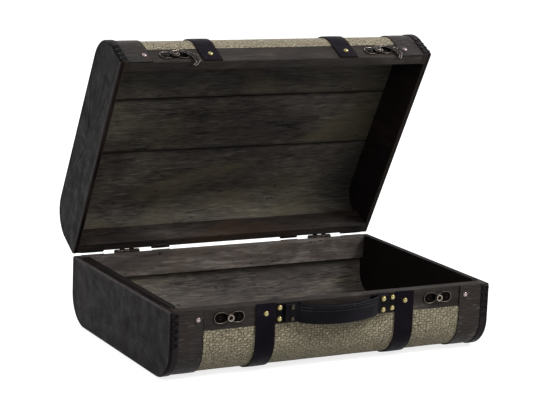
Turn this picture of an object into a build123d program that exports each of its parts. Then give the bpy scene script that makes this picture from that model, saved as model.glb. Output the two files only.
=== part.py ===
from build123d import *
import math
import os

# Wooden suitcase box, open. Lengths are in millimetres.
# Each half is drawn as a tray standing on its bottom, with its rim up.
# The lid is the same tray turned over, closed onto the base, then swung open.
# While drawing, x runs along the case, y from front to back, and z up from the floor.

# Overall sizes
case_width = 440.0
case_depth = 304.0
base_height = 86.7
lid_height = 72.7
rim_gap = 0.6
corner_radius = 40.0

# Pose in which the case is drawn
lid_open_angle = 62.0
left_hook_open_angle = 45.0
right_hook_open_angle = 57.0

# Leather end caps
cap_leather = 2.5
flange_rise = 2.8
flange_width = 11.0
cap_edge_bevel = 1.6
rim_leather = 1.5
rim_corner_lap = 14.0

# Wooden carcass
end_board = 4.5
rail_thickness = 13.2
rail_face_height = 26.5
rail_lip = 3.5
rail_edge = 1.0
bent_board = 5.0
board_seam = 0.8
front_seam = -46.0
back_seam = 39.0

# Lining boards at the two ends of the base
liner_board = 7.0
liner_gap = 0.3
liner_rise = 2.0
liner_corner = 6.0

# Coverings
cloth_thickness = 1.2
band_thickness = 1.5
band_width = 32.0
strap_thickness = 2.0
strap_width = 25.5
strap_inset = 124.0

# Dome-headed studs
stud_radius = 3.6
stud_height = 2.5
stud_brim = 0.5
small_sides = 12
band_stud_inset = 7.5
stud_drop = 12.0

# Latches: a plate with a post on the base, a plate with a swinging hook on the lid
latch_inset = 76.0
latch_drop = 12.4
plate_length = 40.0
plate_height = 14.0
plate_waist = 8.6
plate_thickness = 1.2
post_neck_radius = 2.5
post_head_radius = 4.4
post_head_thickness = 2.0
post_foot = 0.5
post_dimple_radius = 2.3
post_dimple_depth = 1.1
rivet_radius = 1.8
rivet_head_radius = 3.4
rivet_head_height = 1.2
rivet_clearance = 0.06
shoulder_radius = 3.8
head_sides = 20
hook_lift = 2.5
hook_thickness = 1.6
hook_side_clearance = 0.1
post_head_clearance = 0.4
hook_eye_radius = 6.0
hook_throat_clearance = 0.4
hook_jaw = 3.7
hook_jaw_reach = 5.5
hook_arm_bow = 15.0
hook_arm_width = 5.0
hook_heel_reach = 10.0
hook_thumb_radius = 2.6
hook_thumb_rise = 3.6
hook_thumb_lead = 0.6
screw_head_radius = 2.2
screw_head_height = 0.8
screw_slot = 0.7
screw_inset = 7.5

# Carrying handle: a padded grip nailed through a leather patch at each end
patch_width = 34.8
patch_height = 23.7
patch_thickness = 2.0
patch_gap = 0.45
patch_corner = 1.5
patch_drop = 13.3
outer_stud_inset = 5.0
stud_column_pitch = 14.9
stud_row_pitch = 13.6
grip_end_height = 22.0
grip_end_thickness = 4.0
grip_end_overlap = 10.8
grip_mid_height = 24.0
grip_mid_thickness = 8.0
grip_bow = 11.0
grip_sag = 4.0
grip_flat = 8.0
grip_bevel_share = 0.3
grip_rise_power = 0.55

# Hinges on the outside of the back rails
hinge_inset = 76.0
hinge_width = 33.0
leaf_height = 17.0
leaf_thickness = 1.2
knuckle_radius = 2.9
knuckle_count = 5
knuckle_gap = 0.3
knuckle_wall_clearance = 0.3
leaf_relief = 0.5
pin_radius = 1.45
pin_clearance = 0.05
pin_head_radius = 2.1
pin_head_length = 1.0
hinge_screw_spacing = 20.0

# Sizes worked out from those above
half_width = case_width / 2
half_depth = case_depth / 2
closed_height = base_height + rim_gap + lid_height
cloth_face = flange_rise
board_face = cloth_face + cloth_thickness
inner_face = board_face + bent_board
rail_front_y = -half_depth + cloth_face
rail_inner_y = half_depth - cloth_face - rail_thickness
strap_offset = half_width - strap_inset
latch_offset = half_width - latch_inset
hinge_offset = half_width - hinge_inset
board_end = half_width - cap_leather - end_board
band_outer_x = half_width - flange_width
band_inner_x = band_outer_x - band_width
hinge_y = half_depth - cloth_face + knuckle_wall_clearance + knuckle_radius
hinge_z = base_height + rim_gap / 2
post_to_pivot = 2 * latch_drop + rim_gap
patch_center = strap_offset - strap_width / 2 - patch_gap - patch_width / 2
grip_end_x = patch_center + patch_width / 2 - grip_end_overlap
grip_rise_x = patch_center - patch_width / 2 + grip_flat
knuckle_length = (hinge_width - (knuckle_count - 1) * knuckle_gap) / knuckle_count


def tray_face(inset, top):
    """Side outline of a tray, drawn in by inset from the end cap, and cut level at its top."""
    side = half_depth - inset
    tall = top + corner_radius
    center_y = half_depth - corner_radius
    radius = corner_radius - inset
    slope = radius * math.sqrt(0.5)
    outline = [
        Line((-side, tall), (-side, corner_radius)),
        ThreePointArc(
            (-side, corner_radius),
            (-center_y - slope, corner_radius - slope),
            (-center_y, inset),
        ),
        Line((-center_y, inset), (center_y, inset)),
        ThreePointArc(
            (center_y, inset),
            (center_y + slope, corner_radius - slope),
            (side, corner_radius),
        ),
        Line((side, corner_radius), (side, tall)),
        Line((side, tall), (-side, tall)),
    ]
    under_top = Pos(0, top - tall) * Rectangle(2 * case_depth, 2 * tall)
    return Plane.YZ * (make_face(outline) & under_top)


def slab(x0, x1, y0, y1, z0, z1):
    """Rectangular block between two corners."""
    size = Vector(x1 - x0, y1 - y0, z1 - z0)
    middle = Vector((x0 + x1) / 2, (y0 + y1) / 2, (z0 + z1) / 2)
    return Location(middle) * Box(size.X, size.Y, size.Z)


def along_x(face, x0, x1):
    """Extrude a side outline from x0 to x1."""
    return Location((x0, 0, 0)) * extrude(face, amount=x1 - x0, dir=(1, 0, 0))


def wrap(outer_inset, inner_inset, top, x0, x1):
    """A U-shaped covering round the tray, between two insets, open at the rim."""
    outer = along_x(tray_face(outer_inset, top), x0, x1)
    inner = along_x(tray_face(inner_inset, top), x0, x1)
    return outer - inner


def rail(height):
    """Front rim rail: rebated below for the cloth and boards, lowered at its ends for the leather."""
    low = height - rail_face_height - rail_lip
    face_low = height - rail_face_height
    body = slab(-board_end, board_end, rail_front_y, -rail_inner_y, low, height)
    top_edges = body.edges().filter_by(Axis.X).group_by(Axis.Z)[-1]
    body = chamfer(top_edges, rail_edge)
    rebate_y = -half_depth + inner_face
    body -= slab(-board_end, board_end, rail_front_y - 1, rebate_y, low - 1, face_low)
    lap_x = half_width - rim_corner_lap
    lap_z = height - rim_leather
    for x0, x1 in ((-board_end - 1, -lap_x), (lap_x, board_end + 1)):
        body -= slab(x0, x1, rail_front_y - 1, -rail_inner_y + 1, lap_z, height + 1)
    return body


def bent_boards(height):
    """Three thin boards: front and back ones bent up to the rails, and a flat one between."""
    shell = wrap(board_face, inner_face, height - rail_face_height, -board_end, board_end)
    half_seam = board_seam / 2
    far = half_depth + 1
    spans = {
        "front": (-far, front_seam - half_seam),
        "middle": (front_seam + half_seam, back_seam - half_seam),
        "back": (back_seam + half_seam, far),
    }
    boards = {}
    for name, (y0, y1) in spans.items():
        boards[name] = shell & slab(-half_width, half_width, y0, y1, -1, height + 1)
    return boards


def cap(height):
    """Right-hand leather cap: end skin, rolled flange, and the leather turned over the rim."""
    skin = along_x(tray_face(0, height), band_outer_x, half_width)
    outer_edges = skin.faces().sort_by(Axis.X)[-1].edges()
    rounded = [edge for edge in outer_edges if edge.center().Z < height - 0.01]
    skin = chamfer(rounded, cap_edge_bevel)
    skin -= along_x(tray_face(cloth_face, height), band_outer_x, half_width - cap_leather)
    low = height - rim_leather
    side = half_depth - cloth_face
    turned = slab(board_end, half_width - cap_leather, -side, side, low, height)
    lap_x = half_width - rim_corner_lap
    for y0, y1 in ((-side, -rail_inner_y), (rail_inner_y, side)):
        turned += slab(lap_x, board_end, y0, y1, low, height)
    return skin + turned


def end_board_right(height):
    """Thin end board with the tray's outline, under the leather."""
    return along_x(
        tray_face(cloth_face, height - rim_leather), board_end, half_width - cap_leather
    )


def liner_right():
    """Lining board inside the base's right end, a little higher than the rim, to locate the lid."""
    inset = inner_face + liner_gap
    under_rails = base_height - rail_face_height - rail_lip - liner_gap
    x1 = board_end - liner_gap
    x0 = x1 - liner_board
    lower = along_x(tray_face(inset, under_rails), x0, x1)
    side = rail_inner_y - liner_gap
    upper = slab(x0, x1, -side, side, corner_radius, base_height + liner_rise)
    top_edges = upper.edges().filter_by(Axis.X).group_by(Axis.Z)[-1]
    return lower + fillet(top_edges, liner_corner)


def band_right(height):
    """Grained band beside the right cap, wrapped from rim to rim."""
    inset = cloth_face - band_thickness
    return wrap(inset, cloth_face, height, band_inner_x, band_outer_x)


def strap_right(height):
    """Leather strap round the tray, right of the middle."""
    inset = cloth_face - strap_thickness
    x0 = strap_offset - strap_width / 2
    return wrap(inset, cloth_face, height, x0, x0 + strap_width)


def ringed(rings, sides):
    """Many-sided turned piece about Z, from (radius, height) rings."""
    outlines = [Pos(0, 0, height) * RegularPolygon(radius, sides) for radius, height in rings]
    return loft(outlines, ruled=True)


def dome_stud(x, z, rise, side=-1):
    """Domed stud on the front (side -1) or back (side 1); rise is its seat above the cloth."""
    crown = stud_height - stud_brim
    dome = ringed(
        [
            (stud_radius, 0),
            (stud_radius, stud_brim),
            (stud_radius * 0.78, stud_brim + crown / 2),
            (stud_radius * 0.36, stud_height),
        ],
        small_sides,
    )
    seat_y = side * (half_depth - cloth_face + rise)
    return Location((x, seat_y, z)) * Rotation(-90 * side, 0, 0) * dome


def facing_front(shape, x, z, rise):
    """Place a shape drawn on the XY plane, thickness +Z, on the front, facing forwards."""
    return Location((x, rail_front_y - rise, z)) * Rotation(90, 0, 0) * shape


def latch_plate():
    """Stamped plate of two round lobes joined by a narrower waist, lying on XY."""
    lobe = plate_height / 2
    lobe_x = plate_length / 2 - lobe
    outline = Rectangle(2 * lobe_x, plate_waist)
    outline += [Pos(x, 0) * Circle(lobe) for x in (-lobe_x, lobe_x)]
    waist_corners = [v for v in outline.vertices() if abs(v.X) < lobe_x - 0.01]
    outline = fillet(waist_corners, lobe - plate_waist / 2)
    return extrude(outline, amount=plate_thickness)


def screw_head():
    """Slotted pan head, lying on XY and facing +Z."""
    slot_depth = screw_head_height / 2
    head = ringed(
        [
            (screw_head_radius, 0),
            (screw_head_radius, slot_depth),
            (screw_head_radius * 0.8, screw_head_height),
        ],
        small_sides,
    )
    slot = Box(2 * screw_head_radius, screw_slot, 2 * slot_depth)
    return head - Pos(0, 0, screw_head_height) * slot


def button_head(radius, low, thickness):
    """Flat round head from low upwards, with a bevelled edge."""
    bevel = thickness * 0.4
    top = low + thickness
    return ringed([(radius, low), (radius, top - bevel), (radius - bevel, top)], head_sides)


def upright(shape_maker, low, high):
    """Column from low to high, made by a function of its height."""
    return Pos(0, 0, (low + high) / 2) * shape_maker(high - low)


def keeper_post():
    """Post with a dished head, standing on its plate."""
    head_low = hook_lift + hook_thickness + post_head_clearance
    foot_top = plate_thickness + post_foot
    foot = ringed([(shoulder_radius, plate_thickness), (shoulder_radius, foot_top)], head_sides)
    neck = upright(lambda tall: Cylinder(post_neck_radius, tall), foot_top, head_low)
    head = button_head(post_head_radius, head_low, post_head_thickness)
    head_top = head_low + post_head_thickness
    dish = ringed(
        [
            (post_dimple_radius, head_top - post_dimple_depth),
            (post_dimple_radius, head_top + post_dimple_depth),
        ],
        head_sides,
    )
    return foot + neck + (head - dish)


def latch_rivet():
    """Shouldered rivet on the lid's plate, on which the hook turns."""
    seat = hook_lift - hook_side_clearance
    head_low = hook_lift + hook_thickness + hook_side_clearance
    foot = ringed([(shoulder_radius, plate_thickness), (shoulder_radius, seat)], head_sides)
    shaft = upright(lambda tall: Cylinder(rivet_radius, tall), seat, head_low)
    return foot + shaft + button_head(rivet_head_radius, head_low, rivet_head_height)


def polar(radius, angle):
    """Point at a radius and an angle from +X, in degrees."""
    return (radius * math.cos(math.radians(angle)), radius * math.sin(math.radians(angle)))


def latch_hook():
    """Swing hook hanging down from its eye at the origin, its throat open to the left."""
    gap = post_neck_radius + hook_throat_clearance
    jaw_in = post_to_pivot + gap
    jaw_out = jaw_in + hook_jaw
    jaw_mid = (jaw_in + jaw_out) / 2
    heel_angle = -90 + math.degrees(math.asin(hook_heel_reach / jaw_out))
    tip_angle = -90 - math.degrees(math.asin(hook_jaw_reach / jaw_mid))
    half = (heel_angle + tip_angle) / 2
    eye_edge = hook_eye_radius * 0.98
    shoulder = (hook_arm_bow, -(post_to_pivot - hook_thumb_rise))
    eye = Circle(hook_eye_radius)
    arm = make_face(
        [
            ThreePointArc(
                polar(eye_edge, 75), (hook_arm_bow * 0.9, -post_to_pivot * 0.2), shoulder
            ),
            Line(shoulder, polar(jaw_out, heel_angle)),
            Line(polar(jaw_out, heel_angle), (0, -jaw_out)),
            Line((0, -jaw_out), (0, -jaw_in)),
            Line((0, -jaw_in), (gap, -post_to_pivot)),
            ThreePointArc(
                (gap, -post_to_pivot),
                (hook_arm_bow - hook_arm_width, -post_to_pivot * 0.45),
                polar(eye_edge, -10),
            ),
            Line(polar(eye_edge, -10), (0, 0)),
            Line((0, 0), polar(eye_edge, 75)),
        ]
    )
    jaw = make_face(
        [
            ThreePointArc(
                polar(jaw_out, heel_angle), polar(jaw_out, half), polar(jaw_out, tip_angle)
            ),
            Line(polar(jaw_out, tip_angle), polar(jaw_in, tip_angle)),
            ThreePointArc(
                polar(jaw_in, tip_angle), polar(jaw_in, half), polar(jaw_in, heel_angle)
            ),
            Line(polar(jaw_in, heel_angle), polar(jaw_out, heel_angle)),
        ]
    )
    tip = Pos(*polar(jaw_mid, tip_angle)) * Circle(hook_jaw / 2)
    thumb = Pos(shoulder[0] + hook_thumb_lead, shoulder[1]) * Circle(hook_thumb_radius)
    outline = eye + arm + jaw + tip + thumb
    outline -= Pos(0, -post_to_pivot) * Circle(gap)
    outline -= Circle(rivet_radius + rivet_clearance)
    return extrude(outline, amount=hook_thickness)


def grip_section(x, share):
    """Cross-section of the grip at x; share runs from 0 at its nailed ends to 1 in the middle."""
    height = grip_end_height + share * (grip_mid_height - grip_end_height)
    thickness = grip_end_thickness + share * (grip_mid_thickness - grip_end_thickness)
    inner = patch_thickness + share * (grip_bow - patch_thickness)
    center_z = base_height - patch_drop - share * grip_sag
    center_y = rail_front_y - inner - thickness / 2
    plane = Plane(origin=(x, center_y, center_z), x_dir=(0, 1, 0), z_dir=(1, 0, 0))
    outline = Rectangle(thickness, height)
    return plane * chamfer(outline.vertices(), thickness * grip_bevel_share)


def handle_grip():
    """Padded leather grip: flat where it is nailed, then bowed out and thicker in the middle."""
    sections = []
    steps = 6
    for end in (-1, 1):
        stations = [(grip_end_x, 0.0), (grip_rise_x, 0.0)]
        for step in range(1, steps + 1):
            travel = step / steps
            x = grip_rise_x * (1 - travel)
            stations.append((x, math.sin(travel * math.pi / 2) ** grip_rise_power))
        if end == -1:
            sections = [grip_section(-x, share) for x, share in stations]
        else:
            sections += [grip_section(x, share) for x, share in reversed(stations[:-1])]
    return loft(sections, ruled=True)


def handle_patch():
    """Flat leather patch under the right end of the grip."""
    z = base_height - patch_drop
    outline = Rectangle(patch_width, patch_height)
    outline = chamfer(outline.vertices(), patch_corner)
    return facing_front(extrude(outline, amount=patch_thickness), patch_center, z, 0)


def hinge_leaf(knuckles, up):
    """Leaf with its knuckles; the axis is the X axis and the case's back face lies behind it."""
    back = -(knuckle_radius + knuckle_wall_clearance)
    front = back + leaf_thickness
    reach = knuckle_radius + leaf_relief
    half = hinge_width / 2
    leaf = slab(-half, half, back, front, reach, reach + leaf_height)
    corners = leaf.edges().filter_by(Axis.Y).group_by(Axis.Z)[-1]
    leaf = fillet(corners, leaf_thickness * 2)
    for number in knuckles:
        x0 = -half + number * (knuckle_length + knuckle_gap)
        barrel = Rot(0, 90, 0) * Cylinder(knuckle_radius, knuckle_length)
        leaf += Pos(x0 + knuckle_length / 2, 0, 0) * barrel
        leaf += slab(x0, x0 + knuckle_length, back, front, 0, reach)
    bore = pin_radius + (pin_clearance if up else 0)
    leaf -= Rot(0, 90, 0) * Cylinder(bore, hinge_width + 2)
    return leaf if up else mirror(leaf, about=Plane.XY)


def hinge_pin():
    """Hinge pin with a small head at each end."""
    pin = Rot(0, 90, 0) * Cylinder(pin_radius, hinge_width)
    for side in (-1, 1):
        head = extrude(RegularPolygon(pin_head_radius, small_sides), amount=pin_head_length)
        pin += Pos(side * hinge_width / 2, 0, 0) * Rot(0, 90 * side, 0) * head
    return pin


def hinge_screws(up):
    """The two screws of one hinge leaf."""
    way = 1 if up else -1
    z = way * (knuckle_radius + leaf_relief + leaf_height / 2)
    y = -(knuckle_radius + knuckle_wall_clearance) + leaf_thickness
    head = Rotation(-90, 0, 0) * screw_head()
    return [Pos(side * hinge_screw_spacing / 2, y, z) * head for side in (-1, 1)]


def both_sides(name, right):
    """The right-hand piece and its mirror image, under two names."""
    return {name + "_right": right, name + "_left": mirror(right, about=Plane.YZ)}


def half_case(name, height, board_name):
    """Carcass and coverings that the base and the lid have in common, drawn as an upright tray."""
    pieces = {name + "_rail_front": rail(height)}
    pieces[name + "_rail_back"] = mirror(rail(height), about=Plane.XZ)
    for place, board in bent_boards(height).items():
        pieces[f"{name}_{board_name}_{place}"] = board
    low = height - rail_face_height
    pieces[name + "_woven_cover"] = wrap(cloth_face, board_face, low, -board_end, board_end)
    pieces.update(both_sides(name + "_end_board", end_board_right(height)))
    pieces.update(both_sides(name + "_cap", cap(height)))
    pieces.update(both_sides(name + "_band", band_right(height)))
    pieces.update(both_sides(name + "_strap", strap_right(height)))
    stud_z = height - stud_drop
    band_x = band_inner_x + band_stud_inset
    places = [(x, side) for x in (-1, 1) for side in (-1, 1)]
    pieces[name + "_band_studs"] = [
        dome_stud(x * band_x, stud_z, band_thickness, side) for x, side in places
    ]
    pieces[name + "_strap_studs"] = [
        dome_stud(x * strap_offset, stud_z, strap_thickness, side) for x, side in places
    ]
    return pieces


def base_pieces():
    """Everything that stays still: the base, its handle, keepers and lower hinge leaves."""
    pieces = half_case("base", base_height, "floor_board")
    pieces.update(both_sides("base_end_liner", liner_right()))
    pieces.update(both_sides("handle_patch", handle_patch()))
    pieces["handle_grip"] = handle_grip()
    outer_x = patch_center + patch_width / 2 - outer_stud_inset
    inner_x = outer_x - stud_column_pitch
    center_z = base_height - patch_drop
    studs = []
    for side in (-1, 1):
        for row in (-0.5, 0.5):
            z = center_z + row * stud_row_pitch
            studs.append(dome_stud(side * outer_x, z, patch_thickness))
            studs.append(dome_stud(side * inner_x, z, patch_thickness + grip_end_thickness))
    pieces["handle_studs"] = studs
    keeper_z = base_height - latch_drop
    screws = []
    for name, x in (("left", -latch_offset), ("right", latch_offset)):
        pieces["keeper_plate_" + name] = facing_front(latch_plate(), x, keeper_z, 0)
        pieces["keeper_post_" + name] = facing_front(keeper_post(), x, keeper_z, 0)
        screws += plate_screws(x, keeper_z)
    pieces["keeper_screws"] = screws
    base_knuckles = range(0, knuckle_count, 2)
    screws = []
    for name, x in (("left", -hinge_offset), ("right", hinge_offset)):
        at_hinge = Location((x, hinge_y, hinge_z))
        pieces["hinge_leaf_base_" + name] = at_hinge * hinge_leaf(base_knuckles, up=False)
        pieces["hinge_pin_" + name] = at_hinge * hinge_pin()
        screws += [at_hinge * screw for screw in hinge_screws(up=False)]
    pieces["hinge_screws_base"] = screws
    return pieces


def plate_screws(x, z):
    """The two screws of one latch or keeper plate."""
    reach = plate_length / 2 - screw_inset
    head = screw_head()
    return [facing_front(head, x + side * reach, z, plate_thickness) for side in (-1, 1)]


def lid_pieces():
    """The lid, shut on the base: the common tray turned over, with its latch plates and leaves."""
    pieces = {}
    turn_over = Location((0, 0, closed_height))
    for name, shape in half_case("lid", lid_height, "top_board").items():
        solids = shape if isinstance(shape, list) else [shape]
        turned = [turn_over * mirror(solid, about=Plane.XY) for solid in solids]
        pieces[name] = turned if isinstance(shape, list) else turned[0]
    pivot_z = base_height + rim_gap + latch_drop
    screws = []
    for name, x in (("left", -latch_offset), ("right", latch_offset)):
        pieces["latch_plate_" + name] = facing_front(latch_plate(), x, pivot_z, 0)
        pieces["latch_rivet_" + name] = facing_front(latch_rivet(), x, pivot_z, 0)
        screws += plate_screws(x, pivot_z)
    pieces["latch_screws"] = screws
    lid_knuckles = range(1, knuckle_count, 2)
    screws = []
    for name, x in (("left", -hinge_offset), ("right", hinge_offset)):
        at_hinge = Location((x, hinge_y, hinge_z))
        pieces["hinge_leaf_lid_" + name] = at_hinge * hinge_leaf(lid_knuckles, up=True)
        screws += [at_hinge * screw for screw in hinge_screws(up=True)]
    pieces["hinge_screws_lid"] = screws
    return pieces


def hook_pieces():
    """The two swing hooks, each turned about its rivet to the angle at which it was left."""
    pieces = {}
    pivot_z = base_height + rim_gap + latch_drop
    places = (
        ("left", -latch_offset, left_hook_open_angle),
        ("right", latch_offset, right_hook_open_angle),
    )
    for name, x, angle in places:
        swung = Rotation(0, 0, angle) * latch_hook()
        pieces["latch_hook_" + name] = facing_front(swung, x, pivot_z, hook_lift)
    return pieces


def swung_open(shape):
    """Turn a piece of the shut lid about the hinge line to the open pose."""
    at_hinge = Location((0, hinge_y, hinge_z))
    return at_hinge * Rotation(-lid_open_angle, 0, 0) * at_hinge.inverse() * shape


nodes = base_pieces()
for name, shape in {**lid_pieces(), **hook_pieces()}.items():
    if isinstance(shape, list):
        nodes[name] = [swung_open(solid) for solid in shape]
    else:
        nodes[name] = swung_open(shape)

# The origin is on the floor, under the middle of the open case's bounding box.
boxes = []
for shape in nodes.values():
    solids = shape if isinstance(shape, list) else [shape]
    boxes += [solid.bounding_box() for solid in solids]
front_y = min(box.min.Y for box in boxes)
back_y = max(box.max.Y for box in boxes)
to_origin = Location((0, -(front_y + back_y) / 2, 0))
print("drawing origin lies at y", round(-(front_y + back_y) / 2, 4), "of the part's frame")

os.makedirs("parts", exist_ok=True)
for name, shape in nodes.items():
    solids = shape if isinstance(shape, list) else [shape]
    placed = [to_origin * solid for solid in solids]
    piece = Compound(children=placed) if len(placed) > 1 else placed[0]
    export_step(piece, f"parts/{name}.step")
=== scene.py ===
# %% [markdown]
# # A wooden suitcase box, dressed for the camera
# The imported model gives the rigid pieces: boards, rails, hooks and hinges. This notebook adds
# what a drawing of solids leaves out: leather, cloth, stitches, wear and light. Every new piece
# is a surface worked out with numpy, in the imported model's own frame.

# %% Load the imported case
import math
from itertools import product

import bpy
import bmesh
import numpy as np
from mathutils import Matrix, Vector


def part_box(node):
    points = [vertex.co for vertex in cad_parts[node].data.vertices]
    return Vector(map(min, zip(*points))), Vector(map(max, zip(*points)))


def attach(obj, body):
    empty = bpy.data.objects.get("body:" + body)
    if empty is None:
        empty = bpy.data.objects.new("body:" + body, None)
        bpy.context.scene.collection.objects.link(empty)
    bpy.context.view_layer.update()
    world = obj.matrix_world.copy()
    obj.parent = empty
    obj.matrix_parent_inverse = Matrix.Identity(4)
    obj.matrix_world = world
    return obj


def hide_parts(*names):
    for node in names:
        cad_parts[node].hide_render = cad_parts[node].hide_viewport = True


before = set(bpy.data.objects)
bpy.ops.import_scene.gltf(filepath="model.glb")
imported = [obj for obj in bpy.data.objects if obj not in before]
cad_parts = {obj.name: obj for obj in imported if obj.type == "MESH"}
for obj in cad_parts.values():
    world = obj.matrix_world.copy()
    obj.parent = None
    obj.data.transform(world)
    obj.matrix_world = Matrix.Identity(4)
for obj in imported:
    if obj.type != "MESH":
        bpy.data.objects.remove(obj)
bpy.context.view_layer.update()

# %% [markdown]
# ## Sizes, and where a drawn point goes
# Each half of the case is drawn as a tray that stands on its bottom, in millimetres.
# The base stays so. The lid is the same tray turned over onto the base and swung open.
# One function does that move for whole arrays of points, so every piece is drawn once, upright.
# An inset is measured inwards from the caps' outer faces, and a drop downwards from the rim.

# %% Sizes in millimetres, and the two seats
HALF_WIDTH, HALF_DEPTH, CORNER = 220.0, 152.0, 40.0
HEIGHT = {"base": 86.7, "lid": 72.7}
CLOSED_HEIGHT = 160.0
HINGE_Y, HINGE_Z, OPEN_ANGLE = 152.4, 87.0, math.radians(62)
COVER_INSET, BOARD_INSET = 2.8, 4.0
FACE = HALF_DEPTH - COVER_INSET
RAIL_DROP, STUD_DROP, LATCH_DROP = 26.5, 12.0, 12.4
STRAP_X, LATCH_X, BAND_X, FLANGE_X, BOARD_X = 96.0, 144.0, 177.0, 209.0, 213.0
STRAP_WIDTH = 25.5
SIDES = {"left": -1, "right": 1}
SHIFT_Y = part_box("base_cap_left")[0].y * 1000 + HALF_DEPTH


def seat(points, half):
    """Drawn millimetres to metres in the case's frame. For the lid, height becomes closed height
    minus height, then y and z turn about the hinge line by the open angle."""
    p = np.array(points, float)
    if half == "lid":
        p[..., 2] = CLOSED_HEIGHT - p[..., 2]
        y, z = p[..., 1] - HINGE_Y, p[..., 2] - HINGE_Z
        p[..., 1] = HINGE_Y + y * math.cos(OPEN_ANGLE) + z * math.sin(OPEN_ANGLE)
        p[..., 2] = HINGE_Z - y * math.sin(OPEN_ANGLE) + z * math.cos(OPEN_ANGLE)
    p[..., 1] += SHIFT_Y
    return p / 1000


print("the drawing's middle lies at y", round(SHIFT_Y, 3), "mm of the case's frame")

# %% [markdown]
# ## Turning arrays of points into surfaces
# A piece could be made with modelling tools by hand, but a grid of points is exact and quick.
# Rows and columns of points become quads between neighbours, and the last column is joined to
# the first. The open ends are closed with one flat face or a fan, or joined into a ring.

# %% Grids of points, and one mesh from many grids


def grid(*numbers):
    """Points from arrays or numbers, each repeated to fill the same rows and columns."""
    return np.stack(np.broadcast_arrays(*numbers), -1)


def around(count):
    """Angles once round, in even steps."""
    return np.linspace(0, 2 * np.pi, count, endpoint=False)


def squarer(wave, power):
    """A sine or cosine pushed outwards by a power below 1: a circle becomes a rounded square."""
    return np.sign(wave) * np.abs(wave) ** power


def turned(x, z, angle):
    """Places turned about the origin by an angle."""
    return x * math.cos(angle) - z * math.sin(angle), x * math.sin(angle) + z * math.cos(angle)


def uneven(a, b, seed):
    """Gentle hand-made unevenness, about -1 to 1: a sum of three products of sines."""
    total = 0
    for k, (f, g) in enumerate(((0.021, 0.017), (0.053, 0.041), (0.11, 0.087))):
        total = total + np.sin(a * f * 6.28 + seed * 1.7 + k) * np.cos(b * g * 6.28 + seed * 2.3)
    return total / 2.2


def surface(points, uv=None, ends="flat"):
    """Quads between the neighbours of a grid of points. The first and last rows are closed by
    one face each ("flat") or by a fan to their middle ("point"), or are joined ("ring"). Gives
    the points, the faces, and the UV place of each corner of each face."""
    rows, columns = points.shape[:2]
    if uv is None:
        uv = np.zeros((rows + 1, columns + 1, 2))
    i, j = np.arange(rows - (ends != "ring"))[:, None], np.arange(columns)[None, :]
    corners = [(i, j), (i, j + 1), (i + 1, j + 1), (i + 1, j)]
    quads = np.stack([(a % rows) * columns + b % columns for a, b in corners], -1)
    flat, faces = points.reshape(-1, 3), quads.reshape(-1, 4).tolist()
    places = [np.stack([uv[a, b] for a, b in corners], -2).reshape(-1, 2)]
    for row in () if ends == "ring" else (0, rows - 1):
        ring = row * columns + np.arange(columns)
        if ends == "flat":
            faces.append(ring.tolist())
            places.append(uv[row, :columns])
            continue
        faces += np.stack([ring, np.roll(ring, -1), np.full(columns, len(flat))], -1).tolist()
        flat = np.vstack([flat, points[row].mean(0)])
        hub = np.tile(uv[row, :columns].mean(0), (columns, 1))
        places.append(np.stack([uv[row, :columns], uv[row, 1:], hub], 1).reshape(-1, 2))
    return flat, faces, np.vstack(places)


def place_object(name, data):
    """A new object in the scene that carries a mesh, a light or a camera."""
    made = bpy.data.objects.new(name, data)
    bpy.context.scene.collection.objects.link(made)
    return made


def piece(name, half, surfaces, finish, body=None, crease=35, replaces=None):
    """One mesh from several surfaces, with faces outwards, and edges sharper than crease kept."""
    faces, start = [], 0
    for points, own_faces, _ in surfaces:
        faces += [[k + start for k in face] for face in own_faces]
        start += len(points)
    points, uv = (np.vstack([part[k] for part in surfaces]) for k in (0, 2))
    mesh = bpy.data.meshes.new(name)
    mesh.from_pydata(seat(points, half).tolist(), [], faces)
    layer = mesh.uv_layers.new(name="cut")
    layer.data.foreach_set("uv", (uv / 1000).astype(np.float32).ravel())
    outward = bmesh.new()
    outward.from_mesh(mesh)
    bmesh.ops.recalc_face_normals(outward, faces=outward.faces)
    outward.to_mesh(mesh)
    outward.free()
    mesh.shade_smooth()
    mesh.set_sharp_from_angle(angle=math.radians(crease))
    mesh.materials.append(finish)
    made = place_object(name, mesh)
    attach(made, body or half)
    if replaces:
        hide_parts(replaces)
    print(name, len(mesh.polygons), "faces")
    return made


# %% [markdown]
# ## Nodes for finishes
# A finish is a small graph of shader nodes. A wire is what a node gives out, and the usual signs
# of arithmetic on wires add the nodes that do it. A few methods make the rest: coordinates,
# cloudy noise, colours by value, and one colour laid over another. Coordinates are metres of the
# object's own space, or of its UV map, so a pattern keeps its real size and moves with the piece.

# %% Wires, graphs and finishes


def linear(code):
    """A colour as written on a screen, such as 8a8266, as the linear values a shader takes."""
    s = np.array([int(code[k : k + 2], 16) for k in (0, 2, 4)]) / 255
    return tuple(np.where(s <= 0.04045, s / 12.92, ((s + 0.055) / 1.055) ** 2.4)) + (1.0,)


class Wire:
    """What a node gives out. Arithmetic on a wire adds a node and gives that node's wire."""

    def __init__(self, graph, socket):
        self.graph, self.socket = graph, socket

    def step(self, how, other=0.0):
        """One step of arithmetic with another wire or a number."""
        return self.graph.add("ShaderNodeMath", {0: self, 1: other}, operation=how)

    def __add__(self, other):
        return self.step("ADD", other)

    def __sub__(self, other):
        return self.step("SUBTRACT", other)

    def __mul__(self, other):
        return self.step("MULTIPLY", other)

    def __pow__(self, other):
        return self.step("POWER", other)

    def __abs__(self):
        return self.step("ABSOLUTE")

    def between(self, low, high, to_low=0.0, to_high=1.0):
        """The value stretched from one range to another, and held at its ends."""
        ranges = {0: self, 1: low, 2: high, 3: to_low, 4: to_high}
        return self.graph.add("ShaderNodeMapRange", ranges)


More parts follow.
